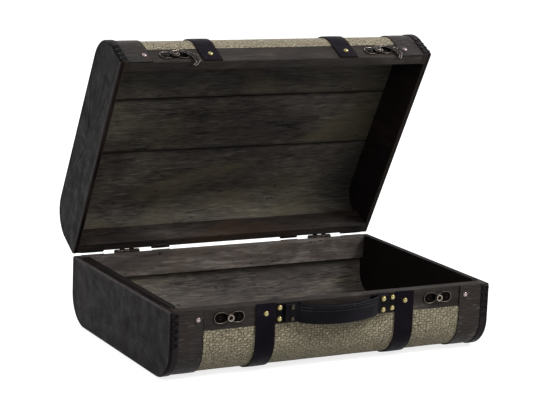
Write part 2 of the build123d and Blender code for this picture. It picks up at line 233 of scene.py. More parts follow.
class Graph:
    """The nodes of a material or of the world; each method adds nodes and gives a wire."""

    def __init__(self, tree):
        self.tree = tree

    def plug(self, value, socket):
        """Leads a wire into a socket, or sets the socket to a plain value or a colour code."""
        if isinstance(value, Wire):
            self.tree.links.new(value.socket, socket)
        else:
            socket.default_value = linear(value) if isinstance(value, str) else value

    def add(self, kind, sockets, out=0, **settings):
        """A node of a kind with its settings and inputs, and the wire of one of its outputs."""
        node = self.tree.nodes.new(kind)
        for key, value in settings.items():
            setattr(node, key, value)
        for key, value in sockets.items():
            self.plug(value, node.inputs[key])
        return Wire(self, node.outputs[out])

    def where(self, scale=(1, 1, 1), uv=False):
        """Object or UV coordinates, stretched by a scale along each axis."""
        source = self.add("ShaderNodeTexCoord", {}, "UV" if uv else "Object")
        return self.add("ShaderNodeMapping", {"Vector": source, "Scale": scale})

    def measure(self, number):
        """The first (0) or second (1) number of the UV map, in metres."""
        return self.add("ShaderNodeSeparateXYZ", {0: self.where(uv=True)}, number)

    def cloud(self, at, scale, detail=3.0, rough=0.55, bend=0.0):
        """Noise from 0 to 1, with about scale blobs to the metre."""
        sockets = {"Vector": at, "Scale": scale, "Detail": detail, "Roughness": rough}
        return self.add("ShaderNodeTexNoise", {**sockets, "Distortion": bend})

    def pebbles(self, at, scale):
        """Distance to the nearest of many scattered points, which makes small round bumps."""
        return self.add("ShaderNodeTexVoronoi", {"Vector": at, "Scale": scale}, feature="F1")

    def colours(self, value, stops):
        """A value from 0 to 1 turned into colours, given as (place, colour) stops."""
        colour = self.add("ShaderNodeValToRGB", {0: value})
        ramp = colour.socket.node.color_ramp
        while len(ramp.elements) < len(stops):
            ramp.elements.new(0.5)
        for element, (place, code) in zip(ramp.elements, stops):
            element.position = place
            element.color = linear(code)
        return colour

    def blend(self, share, a, b):
        """Colour a with colour b laid over it by a share."""
        return self.add("ShaderNodeMix", {0: share, 6: a, 7: b}, 2, data_type="RGBA")


class Finish(Graph):
    """A material under construction."""

    def __init__(self, name, roughness=0.5, metallic=0.0, specular=0.5, sheen=0.0):
        self.material = bpy.data.materials.new(name)
        self.material.use_nodes = True
        super().__init__(self.material.node_tree)
        self.shader = self.tree.nodes["Principled BSDF"]
        self.shader.inputs["Roughness"].default_value = roughness
        self.shader.inputs["Metallic"].default_value = metallic
        self.shader.inputs["Specular IOR Level"].default_value = specular
        self.shader.inputs["Sheen Weight"].default_value = sheen

    def finish(self, colour, roughness=None, height=None, strength=0.5, depth=0.001):
        """Connects the colour, the roughness and a bump from a height, and gives the material."""
        self.plug(colour, self.shader.inputs["Base Color"])
        if roughness is not None:
            self.plug(roughness, self.shader.inputs["Roughness"])
        if height is not None:
            bump = {"Height": height, "Strength": strength, "Distance": depth}
            self.plug(self.add("ShaderNodeBump", bump), self.shader.inputs["Normal"])
        return self.material


print("a colour in a shader's values", linear("8a8266"))

# %% [markdown]
# ## Leathers
# The end caps are a smooth, worn, black-brown leather; the bands beside them are a grained
# leather combed along the case; the straps and the handle are nearly black with a cool cast.
# Each is a cloud of three or four tones, with fine bumps, and scuffs that are lighter. Edges
# are found in the UV map, which measures across a strap, a band or the grip, and so is the part
# of a cap that is turned over the rim. Straps and grip show cut edges there; the bands' edges
# are painted shade, and the cap's turn a painted highlight and the painted shade of a groove.

# %% Leather finishes


def smooth_leather(name, dark, mid, light, pebble=900.0, gloss=(0.34, 0.6), bumpy=0.35,
                   shine=0.2, lap=None, raw=None):
    """Worn smooth leather: clouds of three tones, fine pebbling, and pale scuffs. With lap, the
    UV map says how far in from a cap's end a place is, and whether it is turned over the rim:
    there the lap's colours run from a worn outer edge with a painted highlight over the painted
    shade of a groove to a brown inner edge, and the flange over front, bottom and back is painted
    a little lighter than the end, as painted light. Raw is the place across the UV map of a cut
    edge that shows the leather's reddish inside."""
    f = Finish(name, specular=shine)
    at = f.where()
    tone = f.cloud(at, 14, 4, 0.6, 0.4)
    colour = f.colours(tone, ((0.3, dark), (0.52, mid), (0.75, light)))
    scuff = f.cloud(f.where((1, 1, 0.25)), 260, 5, 0.7, 0.8).between(0.6, 0.78)
    colour = f.blend(scuff * 0.35, colour, light)
    if lap:
        from_end, turned_over = f.measure(0), f.measure(1)
        # Painted highlight along the rim's outer edge, then painted shade where a groove would be,
        # then the brown inner edge.
        rim = f.colours(from_end.between(0, 0.007), lap)
        rim = f.blend(tone.between(0.4, 0.6, 0, 0.5), rim, lap[-1][1])
        # The flange is painted lighter than the cap's end: painted light.
        colour = f.blend(from_end.between(0.0024, 0.0045, 0, 0.55), colour, "332e2f")
        colour = f.blend(turned_over.between(0.0006, 0.0009), colour, rim)
    if raw:
        cut = abs(f.measure(1) - raw).between(0.0016, 0.0005, 0, 0.85)
        patchy = f.cloud(at, 45, 2).between(0.4, 0.6, 0.35, 1.0)
        colour = f.blend(cut * patchy, colour, "3c231c")
    wear = f.cloud(at, 60, 4, 0.6).between(0.3, 0.7, *gloss)
    height = f.cloud(at, 420, 3, 0.6) * 0.8 + f.pebbles(at, pebble)
    return f.finish(colour, wear, height, bumpy, 0.0006)


def grained_leather(name):
    """Combed leather: streaks that run along the case, light scratches and a faint red cast. The
    second number of its UV map runs across the band, and its edges are dark with painted shade."""
    f = Finish(name, specular=0.08)
    streak = f.cloud(f.where((0.12, 1, 1)), 560, 5, 0.7, 0.5)
    tones = ((0.26, "1c1a19"), (0.44, "2a2726"), (0.6, "383433"), (0.8, "524c49"))
    patch = f.cloud(f.where(), 24, 3, 0.6)
    colour = f.blend(patch.between(0.45, 0.75, 0, 0.45), f.colours(streak, tones), "35271f")
    colour = f.blend(patch.between(0.5, 0.3, 0, 0.5), colour, "1b191a")
    scratch = f.cloud(f.where((0.06, 1, 1)), 900, 2, 0.5, 0.3).between(0.6, 0.68)
    some = f.cloud(f.where(), 60, 3).between(0.5, 0.62, 0, 0.6)
    colour = f.blend(scratch * some, colour, "8d8781")
    half_width = (FLANGE_X - BAND_X) / 2000
    # Painted shade along both edges of the band, where it meets its neighbours.
    edge = abs(f.measure(1) - half_width).between(half_width - 0.0007, half_width + 0.0002)
    colour = f.blend(edge, colour, "0b0908")
    return f.finish(colour, streak.between(0.3, 0.7, 0.62, 0.42), streak, 0.5, 0.0008)


def strap_leather(name):
    """Near-black strap leather. The second number of its UV map runs across the strap, so the
    raw brown edges are where it passes the strap's width."""
    f = Finish(name, specular=0.03)
    at = f.where()
    tone = f.cloud(at, 30, 4, 0.6, 0.3)
    colour = f.colours(tone, ((0.3, "09060b"), (0.55, "110d15"), (0.8, "1d1824")))
    half_width = STRAP_WIDTH / 2000
    edge = abs(f.measure(1) - half_width).between(half_width - 0.0006, half_width + 0.0005)
    raw = f.colours(f.cloud(at, 500, 3), ((0.3, "15100e"), (0.6, "2a1f18"), (0.8, "44342a")))
    colour = f.blend(edge, colour, raw)
    scuff = f.cloud(f.where((1, 1, 0.4)), 330, 4, 0.7, 0.6).between(0.62, 0.8)
    colour = f.blend(scuff * 0.35, colour, "2f2c33")
    wear = f.cloud(at, 80, 3).between(0.3, 0.7, 0.32, 0.55)
    height = f.cloud(at, 240, 3) * 0.8 + f.pebbles(at, 1000.0)
    return f.finish(colour, wear, height, 0.3, 0.0005)


# Tones across the cap's turn over the rim: a painted highlight, the painted shade of a groove, a
# brown inner edge.
rim_light_and_groove_tones = ((0.0, "4d4748"), (0.14, "3a3536"), (0.3, "1a1617"), (0.6, "070606"),
             (0.72, "0c0909"), (0.85, "2c2521"), (1.0, "332c28"))
# The lid's caps are the same leather in darker tones: painted shade.
base_cap, lid_cap_in_shade = ("120f10", "171315", "211c1e"), ("0e0b0c", "120f11", "1a1618")
cap_leather = {
    "base": smooth_leather("cap_leather", *base_cap, shine=0.03, lap=rim_light_and_groove_tones),
    "lid": smooth_leather("lid_cap_leather", *lid_cap_in_shade, shine=0.03, lap=rim_light_and_groove_tones),
}
band_leather = grained_leather("band_leather")
black_strap = strap_leather("strap_leather")
handle_tones = ("040305", "0a080c", "18151c", 1000)
handle_leather = smooth_leather("handle_leather", *handle_tones, (0.25, 0.42), 0.3, 0.04)
grip_finish = smooth_leather("grip_leather_finish", *handle_tones, (0.22, 0.4), 0.3, 0.05,
                             raw=0.042)
lace_leather = smooth_leather("lace_leather", "010101", "030202", "0d0807", 1500, (0.16, 0.3),
                              0.3, 0.12)
print("leathers ready")

# %% [markdown]
# ## Woven cloth
# The cover is a coarse matting in a basket weave: small groups of threads pass over and under
# each other, so the surface is a chequer of little pads. It could be modelled thread by thread,
# but that is millions of faces. Here the shader works it out from the cloth's UV map: which
# group is on top, how high its threads stand, and how each group's colour varies. The colour
# follows that height: painted shade low in the grooves and pinholes, a painted highlight on the
# crowns.

# %% The woven finish


def woven(name, pitch, casts):
    """Basket weave. In each square of the chequer, threads run one way, bulging at the middle of
    the square and parted by shallow grooves; the other squares turn them a quarter round. Where
    four squares meet there is a pinhole. The colour follows the threads' height, with painted
    shade in the grooves and pinholes and a painted highlight on the crowns. Two casts of colour
    lie over it in large patches."""
    f = Finish(name, roughness=0.85, specular=0.2, sheen=0.1)
    cut = f.where(uv=True)
    wander = (f.cloud(cut, 110, 3, 0.6) - 0.5) * 0.0085
    u = (f.measure(0) + wander) * (1250 / pitch)
    v = (f.measure(1) - wander) * (1000 / pitch)
    cell_u, cell_v = u.step("FLOOR"), v.step("FLOOR")
    in_u, in_v = u - cell_u, v - cell_v
    odd = abs(cell_u + cell_v).step("MODULO", 2.0)

    def pad(along, across):
        arch = (along * math.pi).step("SINE") ** 0.4
        threads = abs((across * (3 * math.pi)).step("SINE"))
        return arch * (threads * 0.35 + 0.65)

    def squared(along):
        short = abs(along - 0.5) - 0.5
        return short * short

    under = pad(in_u, in_v)
    weave = (pad(in_v, in_u) - under) * odd + under
    from_corner = (squared(in_u) + squared(in_v)).step("SQRT")
    hole = from_corner.between(0.26, 0.1)
    cell = f.add("ShaderNodeCombineXYZ", {0: cell_u, 1: cell_v, 2: odd})
    chance = f.add("ShaderNodeTexWhiteNoise", {"Vector": cell}, noise_dimensions="3D")
    fibre = f.cloud(cut, 1500, 4, 0.7)
    # The colour follows the threads' height: painted shade low in the grooves, painted highlight
    # on the crowns.
    lift = weave * fibre.between(0.25, 0.75, 0.62, 1.2)
    tones = ((0.15, "453e30"), (0.38, "6f6753"), (0.64, "938a73"), (0.95, "bdb49c"))
    colour = f.blend(odd * 0.42, f.colours(lift, tones), "5a523f")
    colour = f.blend(chance.between(0.0, 0.5, 0.4, 0), colour, "574d39")
    # Pale threads in some squares, only on their crowns: random pale threads and a painted
    # highlight.
    pale = chance.between(0.8, 1.0) * lift.between(0.5, 0.9, 0, 0.6)
    colour = f.blend(pale, colour, "cbbf9f")
    stain = f.cloud(cut, 22, 4, 0.6)
    colour = f.blend(stain.between(0.5, 0.68, 0, 0.35), colour, casts[0])
    colour = f.blend(stain.between(0.48, 0.3, 0, 0.3), colour, casts[1])
    # The pinholes' dark is painted shade.
    colour = f.blend(hole * chance.between(0.0, 1.0, 0.95, 0.35), colour, "2a2116")
    return f.finish(colour, None, fibre * 0.5 + weave - hole, 0.7, 0.0008)


matting = {
    "base": woven("woven_matting", 4.1, ("7b7a58", "80705e")),
    "lid": woven("woven_matting_of_lid", 4.1, ("8b7c68", "927a6d")),
}
print("matting ready")

# %% [markdown]
# ## Woods
# The planks inside are weathered: grey-brown, streaked along the case, with darker cracks and
# reddish or greenish patches. The rails are the same wood, stained darker. The end boards are
# nearly black and smooth, with faint pits. Grain is noise stretched along one axis, bent a
# little so that it wanders. Where a corner lies in shadow, painted shade darkens the wood
# along one direction.

# %% Wood finishes


def lighter(tones, factor):
    """The same tones with every colour's brightness multiplied."""
    def code(text):
        value = np.array(linear(text)[:3]) * factor
        screen = np.where(value <= 0.0031308, value * 12.92, 1.055 * value ** (1 / 2.4) - 0.055)
        return "".join(f"{int(round(float(v) * 255)):02x}" for v in np.clip(screen, 0, 1))

    return tuple((place, code(text)) for place, text in tones)


def wood(name, tones, casts, blobs=8.0, streaks=0.3, fibres=0.2, bumpy=0.3, axis=0,
         seams=False, painted_shade=None):
    """Stained wood: soft clouds of stain, faint streaks and fine fibres along the grain's axis,
    two casts of colour, and a few dark cracks, which are the lines where a stretched noise
    passes its middle value. With seams, the UV map gives each plank's number, which shifts its
    pattern, and the distance to its long edges, which are dark with dirt. Painted shade is a
    direction, the distances along it between which the wood darkens as if in shadow, and by how
    much."""
    f = Finish(name, roughness=0.72, specular=0.1)
    place = f.where()
    if seams:
        number = f.measure(1)
        shift = f.add("ShaderNodeCombineXYZ", {0: number, 1: number, 2: number})
        place = f.add("ShaderNodeVectorMath", {0: place, 1: shift})

    def stretched(long, fine, detail=4.0, rough=0.6, bend=0.0):
        grain = np.ones(3)
        grain[axis] = 1 / long
        at = f.add("ShaderNodeMapping", {"Vector": place, "Scale": grain})
        return f.cloud(at, fine, detail, rough, bend)

    stain = stretched(2.6, blobs, 5, 0.62, 0.6)
    streak = stretched(11, 95, 4, 0.6, 0.6) - 0.5
    fibre = stretched(16, 800, 3, 0.65) - 0.5
    grit = stretched(5, 260, 4, 0.7, 0.4) - 0.5
    tone = stain + streak * streaks + fibre * fibres + grit * (fibres * 0.7)
    patch = stretched(2.0, blobs * 1.4, 4, 0.6, 0.5)
    colour = f.blend(patch.between(0.5, 0.66, 0, 0.55), f.colours(tone, tones), casts[0])
    colour = f.blend(patch.between(0.49, 0.34, 0, 0.5), colour, casts[1])
    line = abs(stretched(14, 34, 5, 0.6, 0.5) - 0.5).between(0.012, 0.002)
    crack = line * stretched(3, 22, 2).between(0.53, 0.62)
    speck = stretched(4, 240, 2, 0.5).between(0.69, 0.74, 0, 0.8)
    dark = crack.step("MAXIMUM", speck)
    if seams:
        dirt = f.measure(0).between(0.006, 0.0003) ** 1.7
        dark = dark.step("MAXIMUM", dirt * stain.between(0.35, 0.6, 1.0, 0.75))
    # The wood darkens along one direction: painted shade where it lies in shadow.
    if painted_shade:
        direction, low, high, share = painted_shade
        sockets = {0: f.where(), 1: direction}
        along = f.add("ShaderNodeVectorMath", sockets, "Value", operation="DOT_PRODUCT")
        shadow_veil = (stain - 0.5) * 0.06 + along
        dark = dark.step("MAXIMUM", shadow_veil.between(low, high, 0, share))
    colour = f.blend(dark * 0.92, colour, "0b0908")
    wear = streak.between(-0.15, 0.15, 0.6, 0.8)
    return f.finish(colour, wear, fibre * 0.7 + streak - crack * 0.5, bumpy, 0.0008)


plank_tones = ((0.3, "1d1a19"), (0.44, "363230"), (0.56, "4b4741"), (0.7, "6a655a"),
               (0.84, "8a8474"))
rail_tones = ((0.3, "1b1716"), (0.45, "2b2624"), (0.58, "3a3532"), (0.74, "5a5450"))
end_tones = ((0.3, "0b0807"), (0.5, "120d0c"), (0.7, "1d1714"), (0.85, "2b231f"))
# Painted shade on the lid's lining: darker towards its right end, and up its front plank under the
# rim.
shade_towards_right = ((1, 0, 0), 0.13, 0.215, 0.5)
shade_up_the_open_lid = ((0, -0.4695, 0.8829), 0.215, 0.262, 0.6)
# The floor and the lid's lining are one wood at two brightnesses: the lining's darker tones are
# painted shade.
plank_wood = {
    "base": wood("weathered_floor", lighter(plank_tones, 2.05), ("7f7560", "544f4a"),
                 fibres=0.55, seams=True),
    "lid": wood("weathered_lining", lighter(plank_tones, 1.6), ("6a634e", "484340"),
                fibres=0.55, seams=True, painted_shade=shade_towards_right),
}
# The lid's front plank takes the lining's tones made darker: painted shade under the rim.
shaded_plank = wood("shaded_lining", lighter(plank_tones, 1.35), ("5a5445", "363330"),
                    fibres=0.55, seams=True, painted_shade=shade_up_the_open_lid)
rail_wood = wood("stained_rail", rail_tones, ("3a332a", "272423"), 16, 0.5, 0.35)
# The back rails are the stained rail wood at other brightnesses: lighter in the base as painted
# light, darker in the lid as painted shade.
lit_rail_wood = wood("lit_back_rail_wood", lighter(rail_tones, 2.3), ("5c5044", "3f3a36"),
                      12, 0.5, 0.35)
shaded_rail_wood = wood("shaded_hinge_rail_wood", lighter(rail_tones, 0.7), ("453226", "2b2320"),
                     12, 0.5, 0.4)
end_wood = wood("end_wood", end_tones, ("1a110d", "0d0b0a"), blobs=14, bumpy=0.2, axis=1)
print("woods ready")

# %% [markdown]
# ## Metals
# The studs are brass or nickel gone pale at the crown and dark at the brim. The latches and
# hinges are cast or stamped in dark bronze, rubbed bright on their raised edges. A stud's or
# plate's UV map measures from its axis or its edge, so rings of colour can follow the wear.

# %% Metal finishes


def metal(name, dark, mid, bright, rough, size):
    """Aged metal: patches from bare to tarnished, which are rougher, with fine pitting."""
    f = Finish(name, metallic=1.0)
    age = f.cloud(f.where(), size, 4, 0.65, 0.5)
    colour = f.colours(age, ((0.32, dark), (0.5, mid), (0.68, bright)))
    wear = age.between(0.3, 0.7, rough[1], rough[0])
    return f.finish(colour, wear, f.cloud(f.where(), 900, 3), 0.15, 0.0004)


def ringed_metal(name, reach, rings, rough):
    """Metal whose colour follows the UV map's first number, from 0 to reach millimetres: the
    distance from a stud's axis, or from a plate's edge. Tarnish lies over it in small clouds."""
    f = Finish(name, metallic=1.0)
    age = f.cloud(f.where(), 350, 4, 0.65, 0.5)
    ring = f.colours(f.measure(0).between(0, reach / 1000), rings)
    colour = f.blend(age.between(0.5, 0.75, 0, 0.6), ring, rings[-1][1])
    wear = age.between(0.3, 0.7, *rough)
    return f.finish(colour, wear, f.cloud(f.where(), 900, 3), 0.12, 0.0004)


bright_rings = ((0.0, "b4ad84"), (0.5, "9a9065"), (0.8, "85794f"), (0.93, "6b5f3e"),
                (1.0, "453822"))
pale_rings = ((0.0, "b3a5a2"), (0.5, "94858a"), (0.8, "7c6c6c"), (0.93, "5e4f4d"),
              (1.0, "362a28"))
# Rings for studs that sit in the grip's shade: brass made darker as painted shade.
stud_shade_rings = ((0.0, "4a443a"), (0.5, "37322b"), (0.85, "1d1916"), (1.0, "0d0b0a"))
post_rings = ((0.0, "0b0908"), (0.5, "1a1411"), (0.7, "7f756b"), (0.86, "a0968b"),
              (0.96, "5a5048"), (1.0, "1a1512"))
plate_rings = ((0.0, "14100e"), (0.2, "3a322d"), (0.5, "8a8076"), (0.75, "2a2320"),
               (1.0, "0b0908"))
stud_brass = ringed_metal("aged_brass", 3.6, bright_rings, (0.1, 0.24))
stud_pale = ringed_metal("worn_nickel", 3.6, pale_rings, (0.1, 0.24))
shaded_stud = ringed_metal("shaded_brass", 3.6, stud_shade_rings, (0.08, 0.2))
post_bronze = ringed_metal("turned_bronze", 4.4, post_rings, (0.2, 0.36))
plate_bronze = ringed_metal("stamped_bronze", 1.2, plate_rings, (0.22, 0.4))
latch_bronze = metal("latch_bronze", "080605", "120e0c", "2a221e", (0.28, 0.5), 260)
edge_bronze = metal("rubbed_bronze", "1d1815", "57504a", "a89f95", (0.18, 0.35), 300)
hinge_bronze = metal("hinge_bronze", "0f0c0a", "221c18", "4a413a", (0.3, 0.5), 160)
print("metals ready")

# %% [markdown]
# ## Wrapping a strip round the tray
# Bands, straps and cloth are all the same form: a flat section carried down the front, round the
# lower corner, along the bottom and up the back. The path is straight, quarter round, straight,
# quarter round, straight. A point of the section lies on the path, moved inwards along the
# path's normal by its inset, so one section gives the strip its thickness and soft edges.

# %% The tray's path and a strip on it


def path_marks(height):
    """Lengths along the path at which it changes: front, corner, bottom, corner, back."""
    side, bend, flat = height - CORNER, math.pi / 2 * CORNER, 2 * (HALF_DEPTH - CORNER)
    return np.cumsum([0, side, bend, flat, bend, side])


def on_path(length, height):
    """Point (y, z) and outward normal of the tray's outline at lengths from the front rim. The
    corner's centre slides down, along and up, and the normal turns half round on the way."""
    m = path_marks(height)
    turn = sum(np.clip((length - m[k]) / CORNER, 0, math.pi / 2) for k in (1, 3))
    y = np.clip(length - m[2], 0, m[3] - m[2]) - (HALF_DEPTH - CORNER)
    z = CORNER + np.clip(m[1] - length, 0, None) + np.clip(length - m[4], 0, None)
    ny, nz = -np.cos(turn), -np.sin(turn)
    return y + CORNER * ny, z + CORNER * nz, ny, nz


def strip(height, x0, x1, outer, inner, drop=0.0, soft=0.6, crown=0.0, seed=1.0, across=6,
          rough=0.12):
    """A strip from x0 to x1 between two insets, which starts and ends at a drop below the rims.
    Its outer face is crowned by crown times one minus the squared distance from its middle, and
    is uneven by rough millimetres. The UV map measures along the strip and across it."""
    end = path_marks(height)[-1]
    stations = np.linspace(drop, end - drop, int((end - 2 * drop) / 3) + 1)[:, None]
    bend = np.array([1.0, 0.62, 0.29, 0.08, 0.0])
    side_x, side_in = soft * (1 - np.sqrt(1 - bend**2)) * (bend < 1), outer + soft * bend
    face_x = np.linspace(x0 + soft, x1 - soft, across + 1)[1:-1]
    section_x = np.concatenate([x0 + side_x, face_x, (x1 - side_x)[::-1], [x1, x0]])
    flat_in = np.full(across - 1, outer)
    section_in = np.concatenate([side_in, flat_in, side_in[::-1], [inner, inner]])
    middle, reach = (x0 + x1) / 2, (x1 - x0) / 2
    bulge = crown * (1 - ((section_x - middle) / reach) ** 2)
    on_face = section_in < outer + soft * 0.7
    inset = section_in + on_face * (rough * uneven(stations, section_x, seed) - bulge)
    wander = rough * 1.6 * uneven(stations, 0, seed + (section_x > middle))
    y, z, ny, nz = on_path(stations, height)
    steps = np.hypot(np.diff(section_x), np.diff(section_in))
    run = np.cumsum([0, *steps, inner - outer])
    points = grid(section_x + wander, y - ny * inset, z - nz * inset)
    return surface(points, grid(stations, run - run[4] + soft))


marks = {half: path_marks(height) for half, height in HEIGHT.items()}
print("path lengths in mm", {half: round(float(m[-1]), 1) for half, m in marks.items()})

# %% [markdown]
# ## Planks
# Three boards line each half: one bent up the front, one flat, one bent up the back, with a
# narrow seam between neighbours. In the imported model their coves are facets. Here each plank is
# a surface of its own on the same path, with a fine step, rounded long edges, and edges that
# wander a little at the seams. It lies in the same place and is of the same thickness.

# %% Planks inside both halves
BOARD_IN, ROUNDING, SEAM, FRONT_SEAM, BACK_SEAM = 9.0, 1.6, 0.8, -46.0, 39.0


def plank(height, start, stop, number, wanders):
    """A board on the path from start to stop. Its inner face drops by 1.3 over the rounding at
    both long edges, and where wanders is true an edge strays sideways by up to half a millimetre,
    the same at both sides of a seam. The UV map holds the distance to the nearer long edge, cut
    to less than half beside a rail, so that the plank darkens wider there, and the plank's number."""
    wide = stop - start
    near = np.array([0, 0.25, 0.8, 1.6, 3.0, 6.0])
    middle = np.linspace(8.5, wide - 8.5, int(wide / 2.5))
    run = np.concatenate([near, middle, (wide - near)[::-1]])[:, None]
    x = np.concatenate([np.linspace(-BOARD_X, BOARD_X, 41), [BOARD_X, -BOARD_X]])
    face = BOARD_IN - 1.3 * np.clip(1 - np.minimum(run, run[::-1]) / ROUNDING, 0, 1) ** 2
    inset = np.where(np.arange(len(x)) < 41, face, BOARD_INSET)
    first, last = (0.5 * uneven(x, seam, seam) * wander
                   for seam, wander in zip((start - SEAM, stop), wanders))
    s = start + run + first * (1 - run / wide) + last * (run / wide)
    y, z, ny, nz = on_path(s, height)
    reach = [1.0 if wander else 0.45 for wander in wanders]
    from_edge = np.minimum(run * reach[0], run[::-1] * reach[1])
    uv = grid(from_edge, np.full(len(x) + 1, 370.0 * number))
    return surface(grid(x, y - ny * inset, z - nz * inset), uv)


for number, (half, board) in enumerate((("base", "floor_board"), ("lid", "top_board"))):
    m = marks[half]
    front, back = (m[2] + m[3]) / 2 + np.array([FRONT_SEAM, BACK_SEAM])
    spans = {
        "front": (RAIL_DROP, front - SEAM / 2, (0, 1)),
        "middle": (front + SEAM / 2, back - SEAM / 2, (1, 1)),
        "back": (back + SEAM / 2, m[-1] - RAIL_DROP, (1, 0)),
    }
    for order, (place, (start, stop, wanders)) in enumerate(spans.items()):
        made = plank(HEIGHT[half], start, stop, 3 * number + order, wanders)
        finish = shaded_plank if (half, place) == ("lid", "front") else plank_wood[half]
        piece(f"{half}_plank_{place}", half, [made], finish,
              replaces=f"{half}_{board}_{place}")

# %% [markdown]
# ## The woven cover
# The matting lies between the rails, glued to the boards and tucked under the leather. It is a
# cut rectangle of cloth, stretched round the tray.

# %% Covers of both halves
for half, height in HEIGHT.items():
    cover = strip(height, -BOARD_X, BOARD_X, COVER_INSET, BOARD_INSET, RAIL_DROP, soft=0.3,
                  across=60, rough=0.15)
    made = piece(f"{half}_matting", half, [cover], matting[half],
                 replaces=f"{half}_woven_cover")

# %% [markdown]
# ## Bands and straps
# Beside each cap a grained band goes from rim to rim, and two narrower straps cross the middle.
# Leather is never quite flat: each strip is crowned a little, has soft edges and wanders by a
# tenth of a millimetre, which is enough for the light to break on it.

# %% Bands and straps of both halves
for half, height in HEIGHT.items():
    for side, sign in SIDES.items():
        near, far = sorted((sign * BAND_X, sign * FLANGE_X))
        band = strip(height, near, far, 1.3, COVER_INSET, soft=0.5, crown=0.1, seed=3 + sign)
        piece(f"{half}_grained_band_{side}", half, [band], band_leather,
              replaces=f"{half}_band_{side}")
        near, far = (sign * STRAP_X + k * STRAP_WIDTH / 2 for k in (-1, 1))
        strap = strip(height, near, far, 0.8, COVER_INSET, soft=0.7, crown=0.25, seed=7 + sign)
        piece(f"{half}_black_strap_{side}", half, [strap], black_strap,
              replaces=f"{half}_strap_{side}")

# %% [markdown]
# ## End caps
# A cap is one piece of leather: a flat end, a rolled edge, a flange over the front, bottom and
# back, and a narrow turn over the rim. It could be cut from blocks, but leather has no hard
# edges. So the cap is a profile (end, roll, flange, raw edge, underside) carried round a closed
# outline (up the sides, round the bottom, across the rim), narrower where it turns over the rim.

# %% The cap's outline and profile
RIM_BEND, ROLL, UNDERSIDE_X = 3.0, 2.2, 217.5
RIM_EDGE, RAIL_END_Y, LAP_THICK = 206.0, 135.8, 1.5


def cap_outline(height):
    """The closed outline: points, normals, the x where the flange ends, and its thickness."""
    m = path_marks(height)
    m[[0, 5]] += RIM_BEND, -RIM_BEND
    s = [np.linspace(*m[k : k + 2], n, endpoint=False) for k, n in enumerate((9, 18, 39, 18, 9))]
    a = np.radians([15, 35, 55, 75, 90])
    bend = grid(HALF_DEPTH - RIM_BEND * (1 - np.cos(a)), height - RIM_BEND * (1 - np.sin(a)),
                np.cos(a), np.sin(a))
    over = np.array([146, 141, 137, 136.2, 135.4, 120, 90, 60, 30, 0])
    top = grid(np.concatenate([over, -over[-2::-1]]), height, 0, 1)
    sides = grid(*on_path(np.concatenate([*s, m[5:]]), height))
    y, z, ny, nz = np.vstack([sides, bend, top, bend[::-1] * (-1, 1, -1, 1)]).T
    upper = nz > 0.01
    over_rail = np.where(np.abs(y) > RAIL_END_Y, RIM_EDGE + 3 * (1 - nz), BOARD_X)
    thick = np.where(upper, LAP_THICK + (COVER_INSET - LAP_THICK) * (1 - nz), COVER_INSET)
    return y, z, ny, nz, np.where(upper, over_rail, FLANGE_X), thick


def cap_surface(height, sign, seed):
    """Carries the profile round the outline. Rings of the flat end shrink towards its middle.
    The UV map holds the distance in from the end, and how far the outline faces up."""
    y, z, ny, nz, edge, thick = cap_outline(height)
    middle, rows, roll_x = height * 0.52, [], HALF_WIDTH - ROLL

    def ring(x, inset, shrink=1.0):
        away = z - nz * inset - middle
        rows.append(grid(x, (y - ny * inset) * shrink, middle + away * shrink))

    for shrink in (0.15, 0.35, 0.55, 0.75, 0.88, 0.96):
        ring(219.65 + 0.3 * uneven(y * shrink, z * shrink * 2, seed), 3.2, shrink)
    ring(219.8, 3.4)
    flat_rings = len(rows)
    for turn in np.radians([0, 22, 45, 68, 90]):
        ring(roll_x + ROLL * np.cos(turn), ROLL - ROLL * np.sin(turn))
    soft = 0.14 * uneven(np.cumsum(np.hypot(np.gradient(y), np.gradient(z))), 0, seed)
    for t in (0.25, 0.5, 0.75, 0.93):
        ring(roll_x + (edge + 0.7 - roll_x) * t, 0.12 + soft * np.sin(np.pi * t))
    ring(edge + 0.2, 0.35)
    ring(edge, 0.8)
    ring(edge, thick)
    for shrink in (1.0, 0.9, 0.5, 0.15):
        ring(UNDERSIDE_X, thick, shrink)
    points = np.array(rows)
    turned_over = np.clip(nz, 0, 1) * (np.arange(len(rows)) >= flat_rings)[:, None]
    uv = grid(HALF_WIDTH - points[..., 0], turned_over)
    points[..., 0] *= sign
    return surface(points, np.concatenate([uv, uv[:, :1]], 1), "point")


for half, height in HEIGHT.items():
    for side, sign in SIDES.items():
        cap = cap_surface(height, sign, 2.0 + sign + len(half))
        piece(f"{half}_leather_cap_{side}", half, [cap], cap_leather[half],
              crease=50, replaces=f"{half}_cap_{side}")

# %% [markdown]
# ## Lacing on the flanges
# Near each rim the flange is laced: short loops of black leather lace stand side by side across
# it. One loop is a small tube whose centre line is a flattened ring. A few turned copies with
# slightly different sizes look hand-tied, and each has only a few dozen faces. At the back the
# loop next to the rim is left out, because the halves lie back to back there when the lid is open.

# %% Rows of loops at the eight flange ends
LACE_X, LACE_DROP, LACE_PITCH, LOOP_WIDE, LOOP_HIGH, LACE = 214.0, 5.2, 8.7, 9.6, 7.0, 1.2


def loop_of_lace(x, z, size, lean, face):
    """A tube round a flattened ring, scaled by size, tipped by lean, and standing off a face."""
    turn, section = around(20)[:, None], around(6)
    out = LACE * np.cos(section)
    px = (LOOP_WIDE * size / 2 - LACE) * squarer(np.cos(turn), 0.8) + out * np.cos(turn)
    pz = (LOOP_HIGH * size / 2 - LACE + out) * np.sin(turn)
    lift = 0.25 + 0.3 * np.cos(2 * turn) + LACE * np.sin(section)
    px, pz = turned(px, pz, lean)
    return surface(grid(x + px, face * (HALF_DEPTH + lift), z + pz), ends="ring")


